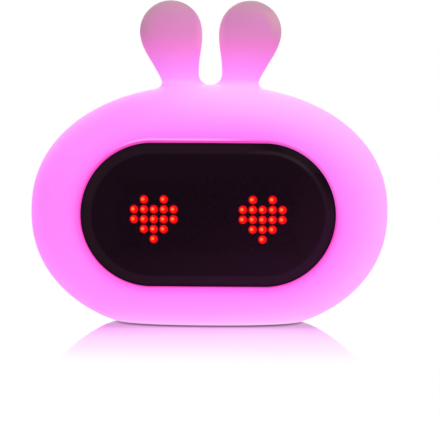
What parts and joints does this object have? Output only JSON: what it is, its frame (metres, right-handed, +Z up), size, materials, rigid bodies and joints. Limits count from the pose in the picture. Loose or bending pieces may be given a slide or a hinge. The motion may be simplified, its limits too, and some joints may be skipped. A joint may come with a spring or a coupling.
{
  "type": "alarm clock night light",
  "caption": "Soft glowing bedside clock with rabbit ears, a dark oval window showing dot hearts, and buttons, speaker and charging socket behind.",
  "frame": {"origin": "on the floor under the middle of the body", "axes": "+X to the right seen from the front, +Y to the back, +Z up; the window faces -Y"},
  "size_m": [0.148, 0.0769, 0.1333],
  "materials": {
    "silicone": "soft satin, translucent and lit from inside",
    "smoked_lens": "glossy, smoked",
    "foam": "closed foam",
    "white_case": "fine matt",
    "black_mask": "matt",
    "lit_dot": "glowing red",
    "dark_dot": "clear epoxy, unlit",
    "board": "green solder mask on glass laminate",
    "black_moulding": "satin",
    "steel": "nickel plated",
    "strip_film": "white film",
    "light_chip": "clear window over a small chip",
    "cell_wrap": "blue shrink wrap",
    "capacitor_can": "bare can",
    "connector_nylon": "natural nylon",
    "clear_pipe": "clear, polished ends",
    "magnet": "dull grey",
    "copper": "enamelled wire",
    "cone_paper": "pressed paper",
    "soft_black": "matt",
    "mesh_cloth": "fine open cloth",
    "red_lead": "smooth sleeve",
    "white_lead": "smooth sleeve",
    "grey_button": "satin"
  },
  "bodies": {
    "clock_body": {"silicone_shell": "silicone", "display_lens": "smoked_lens", "lens_tape": "foam", "front_housing": "white_case", "dot_mask": "black_mask", "lit_dots": "lit_dot", "dark_dots": "dark_dot", "display_board": "board", "driver_chips": "black_moulding", "display_screws": "steel", "light_strip": "strip_film", "strip_lights": "light_chip", "battery_cell": "cell_wrap", "battery_pads": "foam", "battery_clamp": "white_case", "clamp_screws": "steel", "main_board": "board", "main_chips": "black_moulding", "board_capacitors": "capacitor_can", "tap_sensor": "black_moulding", "clock_crystal": "steel", "board_connectors": "connector_nylon", "board_screws": "steel", "tact_switches": "black_moulding", "switch_body": "steel", "socket_shell": "steel", "socket_tongue": "black_moulding", "charge_light": "light_chip", "light_pipe": "clear_pipe", "speaker_basket": "steel", "speaker_magnet": "magnet", "speaker_surround": "soft_black", "speaker_gasket": "foam", "speaker_mesh": "mesh_cloth", "display_ribbon": "connector_nylon", "battery_leads": "red_lead", "strip_leads": "white_lead", "speaker_leads": "red_lead", "rear_cover": "white_case", "case_screws": "steel"},
    "mode_key": {"mode_button": "grey_button", "mode_plunger": "grey_button"},
    "light_key": {"light_button": "grey_button", "light_plunger": "grey_button"},
    "alarm_key": {"alarm_button": "grey_button", "alarm_plunger": "grey_button"},
    "minus_key": {"minus_button": "grey_button", "minus_plunger": "grey_button"},
    "plus_key": {"plus_button": "grey_button", "plus_plunger": "grey_button"},
    "power_slider": {"power_knob": "black_moulding", "switch_lever": "black_moulding"},
    "speaker_diaphragm": {"speaker_cone": "cone_paper", "speaker_coil": "copper"}
  },
  "joints": [
    {"name": "mode_press", "type": "slide", "parent": "clock_body", "child": "mode_key", "axis": [0, -1, 0], "range_m": [0, 0.0005], "stiffness_N_per_m": 3000},
    {"name": "light_press", "type": "slide", "parent": "clock_body", "child": "light_key", "axis": [0, -1, 0], "range_m": [0, 0.0005], "stiffness_N_per_m": 3000},
    {"name": "alarm_press", "type": "slide", "parent": "clock_body", "child": "alarm_key", "axis": [0, -1, 0], "range_m": [0, 0.0005], "stiffness_N_per_m": 3000},
    {"name": "minus_press", "type": "slide", "parent": "clock_body", "child": "minus_key", "axis": [0, -1, 0], "range_m": [0, 0.0005], "stiffness_N_per_m": 3000},
    {"name": "plus_press", "type": "slide", "parent": "clock_body", "child": "plus_key", "axis": [0, -1, 0], "range_m": [0, 0.0005], "stiffness_N_per_m": 3000},
    {"name": "power_slide", "type": "slide", "parent": "clock_body", "child": "power_slider", "axis": [1, 0, 0], "range_m": [0, 0.002]},
    {"name": "cone_stroke", "type": "slide", "parent": "clock_body", "child": "speaker_diaphragm", "axis": [0, 1, 0], "range_m": [-0.0004, 0.0004], "stiffness_N_per_m": 500}
  ]
}
